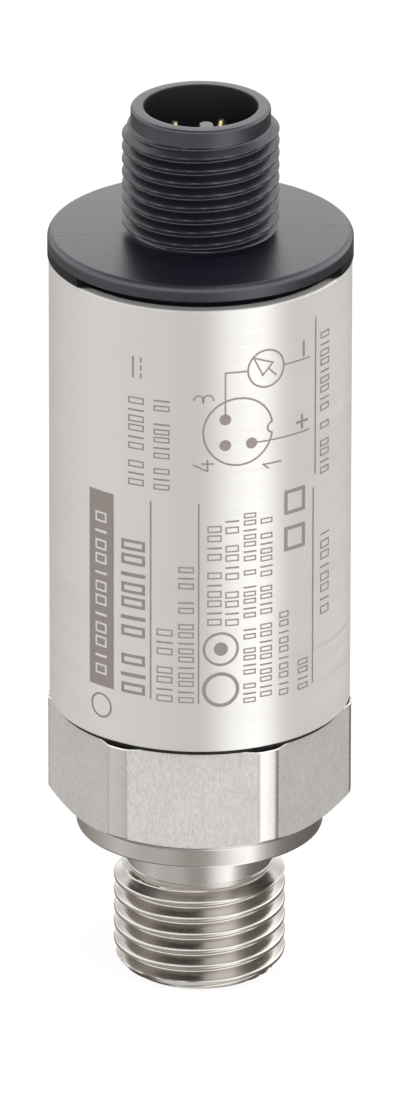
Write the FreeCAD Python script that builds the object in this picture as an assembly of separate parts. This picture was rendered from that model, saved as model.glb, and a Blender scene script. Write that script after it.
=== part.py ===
"""Pressure transmitter: a G1/4 stainless body with a ceramic cell, a plain case and an M12 plug.

Millimetres.  The axis is +Z, and z = 0 is the sealing face of the collar, so the threaded stud
hangs below it.  A wrench flat faces -Y.  Everything that lines up with the plug's key is drawn
with the key towards -Y and then turned by KEY_ANGLE.
"""
import FreeCAD, Part
import math
import os

Vector = FreeCAD.Vector
AXIS = Vector(0, 0, 1)
ORIGIN = Vector(0, 0, 0)

# Process connection: stud, collar and wrench flats
THREAD_MAJOR_D = 13.157          # G1/4 A
THREAD_MINOR_D = 11.445
THREAD_PITCH = 1.337
STUD_LENGTH = 12.0
STUD_TIP_D = 11.34
STUD_TIP_CHAMFER = 1.25
RELIEF_PITCHES = 2.6             # plain neck between the thread and the collar
THREAD_END_CHAMFER = 0.25        # where the thread stops at the neck
PORT_D = 3.5
COLLAR_HEIGHT = 1.5
COLLAR_INSET = 0.95              # from the flats in to the collar's wall
HEX_OVERHANG = 0.1               # of the turned corners over the sleeve
HEX_FLAT_DEPTH = 1.2             # milled off the turned blank at the middle of a flat
HEX_CHAMFER_ANGLE = 30.0
HEX_TOP = 10.2                   # above the sealing face
SHOULDER_INSET = 0.4             # from the sleeve's wall in to the shoulder's
SHOULDER_HEIGHT = 0.4
SPIGOT_WALL = 1.05               # between the sleeve's bore and the lock ring's thread

# Case sleeve
SLEEVE_D = 23.0
SLEEVE_WALL = 0.8
SLEEVE_LENGTH = 36.2
SLIDE_GAP = 0.05                 # radial, between the sleeve and what slides into it

# Pressure cell and what holds it
CELL_HEIGHT = 6.35
CELL_GAP = 0.1
CELL_SEAT = 9.0                  # the pocket's floor above the sealing face
CELL_SEAL_D = 13.8
CELL_SEAL_WIDTH = 1.6
CELL_SEAL_HEIGHT = 1.35
SEAL_SIDE_ROOM = 0.3             # room beside a squeezed ring in its groove
LOCK_RING_BORE = 13.2
LOCK_RING_HEIGHT = 4.0
LOCK_THREAD_GAP = 0.05
LOCK_STEP = 0.5                  # from the lock ring's thread in to the cell's pocket
LOCK_RELIEF = 0.35
LOCK_RING_SUNK = 0.65
SPANNER_SLOT_WIDTH = 1.6
SPANNER_SLOT_DEPTH = 1.0

# Seal between the plug's skirt and the sleeve
CAP_SEAL_DEPTH = 0.9
CAP_SEAL_HEIGHT = 1.3
CAP_SEAL_DROP = 1.3              # groove below the sleeve's upper end

# Plug: flange, skirt and the threaded shell with its key
FLANGE_OVERHANG = 0.1            # over the sleeve
FLANGE_THICKNESS = 1.95
FLANGE_CHAMFER = 0.4
PLUG_THREAD_D = 11.9             # M12x1
PLUG_HEIGHT = 10.05              # rim above the flange
PLUG_LEAD_D = 10.6
PLUG_LEAD_LENGTH = 1.3
PLUG_LEAD_CHAMFER = 0.45
PLUG_RIM_CHAMFER = 0.2
SOCKET_D = 8.56
SOCKET_FLOOR_RISE = 0.7          # socket floor above the flange
KEY_WIDTH = 1.05
KEY_DEPTH = 1.15
KEY_ANGLE = 9.4
SKIRT_LENGTH = 6.0
SKIRT_WALL = 2.25
CEILING_DROP = 0.8               # cap's inner face below the flange's underside
VENT_SLOT_HEIGHT = 0.75
VENT_SLOT_DEPTH = 1.6
VENT_SLOT_ANGLE = 120.0
VENT_HOLE_D = 0.7
VENT_HOLE_INSET = 1.2            # from the skirt's bore in to the drop hole's middle
VENT_MEMBRANE_D = 3.0
VENT_MEMBRANE_THICKNESS = 0.2

# Contacts
PIN_D = 1.0
PIN_CIRCLE_D = 5.0
PIN_BELOW_RIM = 1.9
PIN_TIP_D = 0.45
PIN_TIP_LENGTH = 0.7
PIN_TAIL_WIDTH = 0.8
PIN_TAIL_THICKNESS = 0.4
PIN_TAIL_LAP = 3.8               # soldered length along the board

# Boards, holder and parts on the boards
CELL_BOARD_D = 12.6
CELL_BOARD_THICKNESS = 0.8
TERMINAL_WIDTH = 0.5
TERMINAL_CIRCLE_D = 10.4
TERMINAL_DEPTH = 1.0
TERMINAL_STAND = 0.4
BOARD_THICKNESS = 1.0
BOARD_WIDTH = 14.0
BOARD_TOP_GAP = 1.4              # below the cap's inner face
TONGUE_WIDTH = 10.4
HEADER_SIZE = (10.2, 2.5, 2.5)
HEADER_PITCH = 2.54
HEADER_PIN = 0.5
HEADER_PIN_LAP = 4.3
HOLDER_BORE = 14.8
HOLDER_BASE = 2.5
HOLDER_GAP = 0.2
HOLDER_POST_DROP = 1.6           # top of the posts below the spring
HOLDER_POST_INNER = 5.8
HOLDER_POST_OUTER = 9.0
HOLDER_POST_WIDTH = 4.8
BOARD_SLOT_GAP = 0.05
CONDITIONER_SIZE = (4.0, 4.0, 0.9)
CONDITIONER_OFFSET = 3.2
OUTPUT_CHIP_SIZE = (5.0, 5.0, 0.9)
REGULATOR_SIZE = (4.5, 2.5, 1.5)
DIODE_SIZE = (4.3, 2.6, 2.1)
DIODE_DROP = 4.6                 # below the contacts' tails
DIODE_PITCH = 3.8
CAPACITOR_SIZE = (0.8, 1.6, 0.8)
CAPACITOR_COLUMN = 4.4
CAPACITOR_RISE = 3.6             # up the board from its shoulders to the first part's middle
CAPACITOR_PITCH = 2.5
CAPACITOR_COUNT = 4
RESISTOR_SIZE = (0.5, 1.0, 0.35)
RESISTOR_PITCH = 1.5
RESISTOR_COUNT = 5
RESISTOR_RISE = 2.2
SPRING_THICKNESS = 0.25
SPRING_WIDTH = 2.4
SPRING_DROP = 0.8                # below the skirt
SPRING_FOOT = (3.0, 5.6)         # from and to, across the board
SPRING_BEND = 0.8
SPRING_CREST_LOSS = 0.27         # that the bend takes off the sharp corner
SPRING_CONTACT_ANGLE = 24.0
SPRING_TIP_ANGLE = 34.0
SPRING_TIP_DROP = 0.6

# Levels along the axis that follow from the sizes above
SLEEVE_BOTTOM = HEX_TOP + SHOULDER_HEIGHT
SLEEVE_TOP = SLEEVE_BOTTOM + SLEEVE_LENGTH
FLANGE_TOP = SLEEVE_TOP + FLANGE_THICKNESS
PLUG_RIM = FLANGE_TOP + PLUG_HEIGHT
SOCKET_FLOOR = FLANGE_TOP + SOCKET_FLOOR_RISE
CEILING = SLEEVE_TOP - CEILING_DROP
SKIRT_BOTTOM = SLEEVE_TOP - SKIRT_LENGTH
CELL_TOP = CELL_SEAT + CELL_HEIGHT
CELL_BOARD_TOP = CELL_TOP + CELL_BOARD_THICKNESS
LOCK_RING_TOP = CELL_TOP + LOCK_RING_HEIGHT
SPIGOT_TOP = LOCK_RING_TOP + LOCK_RING_SUNK
HEADER_TOP = CELL_BOARD_TOP + HEADER_SIZE[2]
BOARD_SHOULDER = SPIGOT_TOP + HOLDER_BASE
BOARD_TOP = CEILING - BOARD_TOP_GAP
TAIL_END = BOARD_TOP - PIN_TAIL_LAP
SPRING_TOP = SKIRT_BOTTOM - SPRING_DROP
SPRING_BOTTOM = SPRING_TOP - SPRING_WIDTH
HOLDER_POST_TOP = SPRING_BOTTOM - HOLDER_POST_DROP

# Radii that follow
SLEEVE_R = SLEEVE_D / 2
SLEEVE_BORE_R = SLEEVE_R - SLEEVE_WALL
SLIDE_R = SLEEVE_BORE_R - SLIDE_GAP
CAP_GROOVE_R = SLIDE_R - CAP_SEAL_DEPTH
SKIRT_BORE_R = SLIDE_R - SKIRT_WALL
FLANGE_R = SLEEVE_R + FLANGE_OVERHANG
VENT_HOLE_R = SKIRT_BORE_R - VENT_HOLE_INSET
HEX_CORNER_R = SLEEVE_R + HEX_OVERHANG
HEX_FLAT_R = HEX_CORNER_R - HEX_FLAT_DEPTH
COLLAR_R = HEX_FLAT_R - COLLAR_INSET
SHOULDER_R = SLEEVE_R - SHOULDER_INSET
LOCK_THREAD_R = SLIDE_R - SPIGOT_WALL
LOCK_RING_R = LOCK_THREAD_R - LOCK_THREAD_GAP
POCKET_R = LOCK_THREAD_R - LOCK_STEP
CELL_R = POCKET_R - CELL_GAP


def corner_arc(before, corner, after, radius):
    """The tangent points and middle of the arc that rounds a corner."""
    back = (before - corner).normalize()
    ahead = (after - corner).normalize()
    half = back.getAngle(ahead) / 2
    reach = radius / math.tan(half)
    inward = (back + ahead).normalize()
    centre = corner + inward * (radius / math.sin(half))
    return corner + back * reach, centre - inward * radius, corner + ahead * reach


def path(corners):
    """A wire through (point, radius) corners, where each radius that isn't 0 rounds its corner."""
    edges = []
    last = corners[0][0]
    for i, (point, radius) in enumerate(corners[1:], 1):
        if radius:
            start, middle, end = corner_arc(corners[i - 1][0], point, corners[i + 1][0], radius)
            edges.append(Part.makeLine(last, start))
            edges.append(Part.Arc(start, middle, end).toShape())
            last = end
        else:
            edges.append(Part.makeLine(last, point))
            last = point
    return Part.Wire(edges)


def lathe(outline):
    """A solid turned about the axis from a closed outline of (r, z) corners."""
    corners = [Vector(r, 0, z) for r, z in outline + outline[:1]]
    return Part.Face(Part.makePolygon(corners)).revolve(ORIGIN, AXIS, 360)


def tube(outer_r, inner_r, bottom, top):
    return lathe([(inner_r, bottom), (outer_r, bottom), (outer_r, top), (inner_r, top)])


def box(x, y, z):
    """A block between pairs of limits along x, y and z."""
    size = (x[1] - x[0], y[1] - y[0], z[1] - z[0])
    return Part.makeBox(*size, Vector(x[0], y[0], z[0]))


def around(middle, size):
    return middle - size / 2, middle + size / 2


def round_bar(diameter, bottom, top, x=0.0, y=0.0):
    return Part.makeCylinder(diameter / 2, top - bottom, Vector(x, y, bottom))


def swept(section, route):
    """A solid with the section, a closed wire at the route's start, carried along the route."""
    return route.makePipeShell([section], True, False)


def keyed(shape):
    """Turn a shape drawn with the key towards -Y to where the key really is."""
    return shape.rotated(ORIGIN, AXIS, KEY_ANGLE)


def process_connection():
    """Stud, collar, wrench flats and the spigot with the cell's pocket: one turned and milled piece."""
    thread_r = THREAD_MAJOR_D / 2
    neck_r = THREAD_MINOR_D / 2
    relief_bottom = -RELIEF_PITCHES * THREAD_PITCH
    chamfer_rise = (HEX_CORNER_R - COLLAR_R) * math.tan(math.radians(HEX_CHAMFER_ANGLE))
    seal_r = CELL_SEAL_D / 2
    seal_groove_r = seal_r - CELL_SEAL_WIDTH - SEAL_SIDE_ROOM
    blank = lathe([
        (PORT_D / 2, -STUD_LENGTH),
        (STUD_TIP_D / 2, -STUD_LENGTH),
        (thread_r, -STUD_LENGTH + STUD_TIP_CHAMFER),
        (thread_r, relief_bottom - THREAD_END_CHAMFER),
        (thread_r - THREAD_END_CHAMFER, relief_bottom),
        (neck_r, relief_bottom),
        (neck_r, 0),
        (COLLAR_R, 0),
        (COLLAR_R, COLLAR_HEIGHT),
        (HEX_CORNER_R, COLLAR_HEIGHT + chamfer_rise),
        (HEX_CORNER_R, HEX_TOP),
        (SHOULDER_R, HEX_TOP),
        (SHOULDER_R, SLEEVE_BOTTOM),
        (SLIDE_R, SLEEVE_BOTTOM),
        (SLIDE_R, SPIGOT_TOP),
        (LOCK_THREAD_R, SPIGOT_TOP),
        (LOCK_THREAD_R, CELL_TOP - LOCK_RELIEF),
        (POCKET_R, CELL_TOP - LOCK_RELIEF),
        (POCKET_R, CELL_SEAT),
        (seal_r, CELL_SEAT),
        (seal_r, CELL_SEAT - CELL_SEAL_HEIGHT),
        (seal_groove_r, CELL_SEAT - CELL_SEAL_HEIGHT),
        (seal_groove_r, CELL_SEAT),
        (PORT_D / 2, CELL_SEAT),
    ])
    return blank.cut(outside_the_flats())


def outside_the_flats():
    """What milling takes off between the collar and the shoulder to leave the six flats."""
    hexagon_r = HEX_FLAT_R / math.cos(math.pi / 6)
    corners = [Vector(hexagon_r * math.cos(a), hexagon_r * math.sin(a), COLLAR_HEIGHT)
               for a in [k * math.pi / 3 for k in range(7)]]
    height = HEX_TOP - COLLAR_HEIGHT
    hexagon = Part.Face(Part.makePolygon(corners)).extrude(AXIS * height)
    return round_bar(2.4 * HEX_CORNER_R, COLLAR_HEIGHT, HEX_TOP).cut(hexagon)


def cell_seal_ring():
    """Each elastic ring is drawn as it lies squeezed in its groove, flat on the walls that it seals."""
    outer_r = CELL_SEAL_D / 2
    return tube(outer_r, outer_r - CELL_SEAL_WIDTH, CELL_SEAT - CELL_SEAL_HEIGHT, CELL_SEAT)


def cap_seal_ring():
    top = SLEEVE_TOP - CAP_SEAL_DROP - SEAL_SIDE_ROOM / 2
    return tube(SLEEVE_BORE_R, CAP_GROOVE_R, top - CAP_SEAL_HEIGHT, top)


def terminal_places():
    r = TERMINAL_CIRCLE_D / 2
    return [(r * math.cos(a), r * math.sin(a)) for a in [math.radians(45 + 90 * k) for k in range(4)]]


def cell_terminals():
    bottom = CELL_TOP - TERMINAL_DEPTH
    top = CELL_BOARD_TOP + TERMINAL_STAND
    return keyed(Part.makeCompound([box(around(x, TERMINAL_WIDTH), around(y, TERMINAL_WIDTH), (bottom, top))
                                    for x, y in terminal_places()]))


def pressure_cell():
    """The ceramic measuring cell, with its terminals sunk in its back."""
    return round_bar(2 * CELL_R, CELL_SEAT, CELL_TOP).cut(cell_terminals())


def cell_board():
    disc = round_bar(CELL_BOARD_D, CELL_TOP, CELL_BOARD_TOP)
    return disc.cut(cell_terminals())


def retaining_ring():
    """The threaded ring that holds the cell down, with two slots for a spanner."""
    ring = tube(LOCK_RING_R, LOCK_RING_BORE / 2, CELL_TOP, LOCK_RING_TOP)
    slot = box(around(0, 2.4 * LOCK_RING_R), around(0, SPANNER_SLOT_WIDTH),
               (LOCK_RING_TOP - SPANNER_SLOT_DEPTH, LOCK_RING_TOP))
    return ring.cut(slot)


def case_sleeve():
    """The plain tube round the electronics, from the body's shoulder to the plug's flange."""
    return tube(SLEEVE_R, SLEEVE_BORE_R, SLEEVE_BOTTOM, SLEEVE_TOP)


def pin_places():
    """Contact number to its place and the board's side that it is soldered to."""
    r = PIN_CIRCLE_D / 2
    across = r * math.sin(math.pi / 4)
    return {1: (-across, -across), 3: (across, across), 4: (-across, across)}


def contact_pin(number):
    """A contact: the round pin through the cap's floor and the flat tail, cranked in to the board."""
    x, y = pin_places()[number]
    r = PIN_D / 2
    tip = PLUG_RIM - PIN_BELOW_RIM
    pin = lathe([(0, CEILING), (r, CEILING), (r, tip - PIN_TIP_LENGTH), (PIN_TIP_D / 2, tip), (0, tip)])
    pin.translate(Vector(x, y, 0))
    side = 1 if y > 0 else -1
    face = side * BOARD_THICKNESS / 2
    thick = side * PIN_TAIL_THICKNESS
    root = y - thick / 2
    crank = abs(root - face)
    corners = [(root, CEILING), (root, BOARD_TOP + crank), (face, BOARD_TOP), (face, TAIL_END),
               (face + thick, TAIL_END), (face + thick, BOARD_TOP), (root + thick, BOARD_TOP + crank),
               (root + thick, CEILING), (root, CEILING)]
    left = x - PIN_TAIL_WIDTH / 2
    outline = Part.makePolygon([Vector(left, across, z) for across, z in corners])
    tail = Part.Face(outline).extrude(Vector(PIN_TAIL_WIDTH, 0, 0))
    return keyed(pin.fuse(tail))


def key_rib():
    """The rib in the socket that keys the mating plug, with its round nose inwards."""
    wall_y = SOCKET_D / 2 + KEY_WIDTH / 2
    nose_y = SOCKET_D / 2 - KEY_DEPTH + KEY_WIDTH / 2
    rib = box(around(0, KEY_WIDTH), (-wall_y, -nose_y), (SOCKET_FLOOR, PLUG_RIM))
    return rib.fuse(round_bar(KEY_WIDTH, SOCKET_FLOOR, PLUG_RIM, 0, -nose_y))


def vent_slot():
    """The slot under the flange that lets air reach the vent's hole."""
    height = VENT_SLOT_HEIGHT
    start = -90 - VENT_SLOT_ANGLE / 2
    sector = Part.makeCylinder(2 * FLANGE_R, height, Vector(0, 0, SLEEVE_TOP), AXIS, VENT_SLOT_ANGLE)
    sector.rotate(ORIGIN, AXIS, start)
    floor_r = FLANGE_R - VENT_SLOT_DEPTH
    return sector.cut(round_bar(2 * floor_r, SLEEVE_TOP, SLEEVE_TOP + height))


def vent_hole():
    """The way from the slot to the inside: in through the rim, then down."""
    middle = SLEEVE_TOP + VENT_SLOT_HEIGHT / 2
    reach = FLANGE_R - VENT_HOLE_R
    inward = Part.makeCylinder(VENT_HOLE_D / 2, reach, Vector(0, -VENT_HOLE_R, middle), Vector(0, -1, 0))
    down = round_bar(VENT_HOLE_D, CEILING, middle + VENT_HOLE_D / 2, 0, -VENT_HOLE_R)
    return inward.fuse(down)


def connector_cap():
    """The moulded plug: flange and skirt below, threaded shell with its key and contacts' floor above."""
    thread_r = PLUG_THREAD_D / 2
    lead_r = PLUG_LEAD_D / 2
    lead_bottom = PLUG_RIM - PLUG_LEAD_LENGTH
    seal_top = SLEEVE_TOP - CAP_SEAL_DROP
    seal_bottom = seal_top - CAP_SEAL_HEIGHT - SEAL_SIDE_ROOM
    body = lathe([
        (0, CEILING), (SKIRT_BORE_R, CEILING),
        (SKIRT_BORE_R, SKIRT_BOTTOM),
        (SLIDE_R, SKIRT_BOTTOM),
        (SLIDE_R, seal_bottom), (CAP_GROOVE_R, seal_bottom),
        (CAP_GROOVE_R, seal_top), (SLIDE_R, seal_top),
        (SLIDE_R, SLEEVE_TOP), (FLANGE_R, SLEEVE_TOP),
        (FLANGE_R, FLANGE_TOP - FLANGE_CHAMFER),
        (FLANGE_R - FLANGE_CHAMFER, FLANGE_TOP),
        (thread_r, FLANGE_TOP),
        (thread_r, lead_bottom - PLUG_LEAD_CHAMFER),
        (lead_r, lead_bottom),
        (lead_r, PLUG_RIM - PLUG_RIM_CHAMFER),
        (lead_r - PLUG_RIM_CHAMFER, PLUG_RIM),
        (SOCKET_D / 2, PLUG_RIM),
        (SOCKET_D / 2, SOCKET_FLOOR), (0, SOCKET_FLOOR),
    ])
    cap = keyed(body.fuse(key_rib()).cut(vent_slot()).cut(vent_hole()))
    for number in pin_places():
        cap = cap.cut(contact_pin(number))
    return cap


def vent_membrane():
    """The thin film over the vent's inner mouth that passes air and holds water back."""
    middle = VENT_HOLE_R - (VENT_MEMBRANE_D - VENT_HOLE_D) / 4
    bottom = CEILING - VENT_MEMBRANE_THICKNESS
    return keyed(round_bar(VENT_MEMBRANE_D, bottom, CEILING, 0, -middle))


def main_board():
    """The upright board: full width in the holder's slots, a narrower tongue below."""
    y = around(0, BOARD_THICKNESS)
    upper = box(around(0, BOARD_WIDTH), y, (BOARD_SHOULDER, BOARD_TOP))
    tongue = box(around(0, TONGUE_WIDTH), y, (HEADER_TOP, BOARD_SHOULDER))
    return keyed(upper.fuse(tongue).removeSplitter())


def header_pin_shapes():
    y = (BOARD_THICKNESS / 2, BOARD_THICKNESS / 2 + HEADER_PIN)
    z = (CELL_BOARD_TOP, HEADER_TOP + HEADER_PIN_LAP)
    return [box(around(HEADER_PITCH * k, HEADER_PIN), y, z) for k in (-1.5, -0.5, 0.5, 1.5)]


def board_header():
    """The block on the round board that the upright board stands on."""
    front = -BOARD_THICKNESS / 2
    block = box(around(0, HEADER_SIZE[0]), (front, front + HEADER_SIZE[1]), (CELL_BOARD_TOP, HEADER_TOP))
    for pin in header_pin_shapes():
        block = block.cut(pin)
    return keyed(block)


def header_pins():
    return keyed(Part.makeCompound(header_pin_shapes()))


def board_holder():
    """The moulded carrier: a ring on the spigot and two slotted posts for the board's edges."""
    ring_r = SLEEVE_BORE_R - HOLDER_GAP
    holder = tube(ring_r, HOLDER_BORE / 2, SPIGOT_TOP, BOARD_SHOULDER)
    for side in (-1, 1):
        x = sorted((side * HOLDER_POST_INNER, side * HOLDER_POST_OUTER))
        post = box(x, around(0, HOLDER_POST_WIDTH), (SPIGOT_TOP, HOLDER_POST_TOP))
        holder = holder.fuse(post)
    slot = box(around(0, BOARD_WIDTH + 2 * BOARD_SLOT_GAP),
               around(0, BOARD_THICKNESS + 2 * BOARD_SLOT_GAP),
               (BOARD_SHOULDER, HOLDER_POST_TOP))
    return keyed(holder.cut(slot))


def on_board(size, middle, side=-1, across=0.0):
    """A part of (across, along, proud) size on one face of the upright board, at a level."""
    face = BOARD_THICKNESS / 2
    y = sorted((side * face, side * (face + size[2])))
    return box(around(across, size[0]), y, around(middle, size[1]))


def chip_gap():
    """The room that the two chips leave three times, between the resistors and the contacts' tails."""
    resistors_top = BOARD_SHOULDER + RESISTOR_RISE + RESISTOR_SIZE[1] / 2
    return (TAIL_END - resistors_top - OUTPUT_CHIP_SIZE[1] - REGULATOR_SIZE[1]) / 3


def voltage_regulator():
    return keyed(on_board(REGULATOR_SIZE, TAIL_END - chip_gap() - REGULATOR_SIZE[1] / 2))


def output_chip():
    regulator_bottom = TAIL_END - chip_gap() - REGULATOR_SIZE[1]
    return keyed(on_board(OUTPUT_CHIP_SIZE, regulator_bottom - chip_gap() - OUTPUT_CHIP_SIZE[1] / 2))


def surge_diodes():
    first = TAIL_END - DIODE_DROP - DIODE_SIZE[1] / 2
    return keyed(Part.makeCompound([on_board(DIODE_SIZE, first - k * DIODE_PITCH, side=1) for k in (0, 1)]))


def chip_capacitors():
    first = BOARD_SHOULDER + CAPACITOR_RISE
    return keyed(Part.makeCompound([
        on_board(CAPACITOR_SIZE, first + k * CAPACITOR_PITCH, across=side * CAPACITOR_COLUMN)
        for side in (-1, 1) for k in range(CAPACITOR_COUNT)]))


def chip_resistors():
    first = -(RESISTOR_COUNT - 1) / 2
    middle = BOARD_SHOULDER + RESISTOR_RISE
    return keyed(Part.makeCompound([on_board(RESISTOR_SIZE, middle, across=(first + k) * RESISTOR_PITCH)
                                    for k in range(RESISTOR_COUNT)]))


def conditioning_chip():
    """The cell's own amplifier, on the round board beside the header."""
    size = CONDITIONER_SIZE
    return keyed(box(around(0, size[0]), around(-CONDITIONER_OFFSET, size[1]),
                     (CELL_BOARD_TOP, CELL_BOARD_TOP + size[2])))


def polar(r, angle, z):
    a = math.radians(angle)
    return Vector(r * math.cos(a), r * math.sin(a), z)


def earth_spring():
    """The leaf from the board to the sleeve's wall that earths the case."""
    half = SPRING_THICKNESS / 2
    z = (SPRING_TOP + SPRING_BOTTOM) / 2
    foot_y = BOARD_THICKNESS / 2 + half
    contact_r = SLEEVE_BORE_R - SLIDE_GAP - half + SPRING_CREST_LOSS
    start = Vector(SPRING_FOOT[0], foot_y, z)
    route = path([
        (start, 0),
        (Vector(SPRING_FOOT[1], foot_y, z), SPRING_BEND),
        (polar(contact_r, SPRING_CONTACT_ANGLE, z), SPRING_BEND),
        (polar(contact_r - SPRING_TIP_DROP, SPRING_TIP_ANGLE, z), 0),
    ])
    wide = SPRING_WIDTH / 2
    section = Part.makePolygon([start + Vector(0, y, w) for y, w in
                                ((-half, -wide), (half, -wide), (half, wide), (-half, wide), (-half, -wide))])
    return keyed(swept(section, route))


PARTS = {
    "process_connection": process_connection,
    "cell_seal_ring": cell_seal_ring,
    "pressure_cell": pressure_cell,
    "cell_terminals": cell_terminals,
    "cell_board": cell_board,
    "conditioning_chip": conditioning_chip,
    "board_header": board_header,
    "header_pins": header_pins,
    "retaining_ring": retaining_ring,
    "case_sleeve": case_sleeve,
    "board_holder": board_holder,
    "main_board": main_board,
    "output_chip": output_chip,
    "voltage_regulator": voltage_regulator,
    "surge_diodes": surge_diodes,
    "chip_capacitors": chip_capacitors,
    "chip_resistors": chip_resistors,
    "earth_spring": earth_spring,
    "contact_pin_1": lambda: contact_pin(1),
    "contact_pin_3": lambda: contact_pin(3),
    "contact_pin_4": lambda: contact_pin(4),
    "connector_cap": connector_cap,
    "cap_seal_ring": cap_seal_ring,
    "vent_membrane": vent_membrane,
}

os.makedirs("parts", exist_ok=True)
for name, make in PARTS.items():
    make().exportStep("parts/" + name + ".step")
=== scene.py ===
"""Looks of the pressure transmitter: turned and milled steel, a brushed sleeve and a moulded M12 plug."""

import math

import bpy
import bmesh
import numpy as np
from mathutils import Matrix, Vector


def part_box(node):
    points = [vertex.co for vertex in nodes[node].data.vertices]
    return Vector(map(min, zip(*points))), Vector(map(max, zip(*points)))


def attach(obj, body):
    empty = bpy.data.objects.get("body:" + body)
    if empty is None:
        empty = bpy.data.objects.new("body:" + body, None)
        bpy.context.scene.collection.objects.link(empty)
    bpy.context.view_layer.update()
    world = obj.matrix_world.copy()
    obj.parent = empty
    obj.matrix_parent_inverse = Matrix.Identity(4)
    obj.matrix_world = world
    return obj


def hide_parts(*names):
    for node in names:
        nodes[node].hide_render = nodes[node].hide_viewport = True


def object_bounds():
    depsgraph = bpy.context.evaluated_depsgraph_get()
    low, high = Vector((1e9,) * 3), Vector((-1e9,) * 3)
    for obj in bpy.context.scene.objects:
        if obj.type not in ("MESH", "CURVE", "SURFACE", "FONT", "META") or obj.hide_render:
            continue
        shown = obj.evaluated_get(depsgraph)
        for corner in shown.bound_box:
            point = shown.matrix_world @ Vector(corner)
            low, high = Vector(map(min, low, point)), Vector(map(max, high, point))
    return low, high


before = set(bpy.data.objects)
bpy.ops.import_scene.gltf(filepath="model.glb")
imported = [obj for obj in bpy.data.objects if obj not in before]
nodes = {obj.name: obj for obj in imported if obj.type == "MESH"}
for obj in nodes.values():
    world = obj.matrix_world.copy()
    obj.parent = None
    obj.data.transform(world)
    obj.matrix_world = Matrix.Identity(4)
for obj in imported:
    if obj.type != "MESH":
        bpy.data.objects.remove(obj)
cad_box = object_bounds()
scene = bpy.context.scene
MM = 0.001


# ---------------------------------------------------------------- sizes, in millimetres

def level(node, corner, axis):
    """A limit of a CAD node along one axis, in millimetres."""
    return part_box(node)[corner][axis] / MM


STUD_TIP = level("process_connection", 0, 2)
SPIGOT_TOP = level("process_connection", 1, 2)
SLEEVE_BOTTOM = level("case_sleeve", 0, 2)
SLEEVE_TOP = level("case_sleeve", 1, 2)
SLEEVE_R = level("case_sleeve", 1, 0)
PLUG_RIM = level("connector_cap", 1, 2)
PLUG_FLOOR = level("connector_cap", 0, 2)
FLANGE_R = level("connector_cap", 1, 0)
FLANGE_THICKNESS = 1.95
FLANGE_TOP = SLEEVE_TOP + FLANGE_THICKNESS
SLEEVE_WALL = 0.8
BORE_R = SLEEVE_R - SLEEVE_WALL
SLIDE_GAP = 0.05
SLIDE_R = BORE_R - SLIDE_GAP       # of the spigot and the plug's skirt
FRONT = math.radians(-90)
KEY_ANGLE = math.radians(9.4)
CAMERA_AZIMUTH = math.radians(3.0)
HOLD = 0.03                        # from an edge to the row that holds its shading


# ---------------------------------------------------------------- node trees

class Nodes:
    """A short way to write a node tree: every method adds a node and gives back its output."""

    def __init__(self, owner):
        self.tree = owner.node_tree
        self.bsdf = self.tree.nodes.get("Principled BSDF")

    def add(self, kind, inputs=(), **settings):
        node = self.tree.nodes.new(kind)
        for key, value in settings.items():
            setattr(node, key, value)
        for key, value in dict(inputs).items():
            self.plug(value, node.inputs[key])
        return node

    def plug(self, value, socket):
        if isinstance(value, bpy.types.NodeSocket):
            self.tree.links.new(value, socket)
        else:
            socket.default_value = value

    def math(self, operation, a, b=0.0):
        return self.add("ShaderNodeMath", {0: a, 1: b}, operation=operation).outputs[0]

    def place(self, scale=(1, 1, 1)):
        """Object coordinates in millimetres, times a scale for each axis."""
        where = self.add("ShaderNodeTexCoord").outputs["Object"]
        return self.add("ShaderNodeMapping", {"Vector": where, "Scale": [s / MM for s in scale]}).outputs[0]

    def noise(self, scale, detail=3.0, rough=0.55):
        return self.add("ShaderNodeTexNoise", {"Vector": self.place(scale), "Scale": 1.0,
                                               "Detail": detail, "Roughness": rough}).outputs["Fac"]

    def ramp(self, fac, stops):
        """A colour ramp; the stops are (place, colour)."""
        node = self.add("ShaderNodeValToRGB", {"Fac": fac})
        band = node.color_ramp
        while len(band.elements) < len(stops):
            band.elements.new(0.5)
        for element, (place, colour) in zip(band.elements, stops):
            element.position = place
            element.color = (*colour, 1)
        return node.outputs["Color"]

    def spread(self, fac, low, high, start=0.3, end=0.7, kind="LINEAR"):
        return self.add("ShaderNodeMapRange", {"Value": fac, "From Min": start, "From Max": end,
                                               "To Min": low, "To Max": high},
                        interpolation_type=kind).outputs["Result"]

    def mix(self, fac, a, b, blend="MIX"):
        node = self.add("ShaderNodeMix", data_type="RGBA", blend_type=blend)
        self.plug(fac, node.inputs["Factor"])
        for socket, value in ((node.inputs[6], a), (node.inputs[7], b)):
            self.plug(value if isinstance(value, bpy.types.NodeSocket) else (*value, 1), socket)
        return node.outputs[2]

    def shade(self, colour, *factors):
        """The colour times every factor."""
        total = factors[0]
        for factor in factors[1:]:
            total = self.math("MULTIPLY", total, factor)
        grey = self.add("ShaderNodeCombineColor", {0: total, 1: total, 2: total}).outputs[0]
        return self.mix(1.0, colour, grey, "MULTIPLY")

    def bump(self, height, distance):
        """Bump of a height in 0..1, where distance is in millimetres."""
        return self.add("ShaderNodeBump", {"Height": height, "Distance": distance * MM}).outputs["Normal"]

    def set(self, **values):
        for key, value in values.items():
            self.plug(value, self.bsdf.inputs[key.replace("_", " ")])


def material(name):
    made = bpy.data.materials.new(name)
    made.use_nodes = True
    return made, Nodes(made)


# ---------------------------------------------------------------- materials

WHITE = (1.0, 1.0, 1.0, 1.0)
COOL = (0.97, 0.95, 1.0, 1.0)      # sheen of the black mouldings


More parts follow.
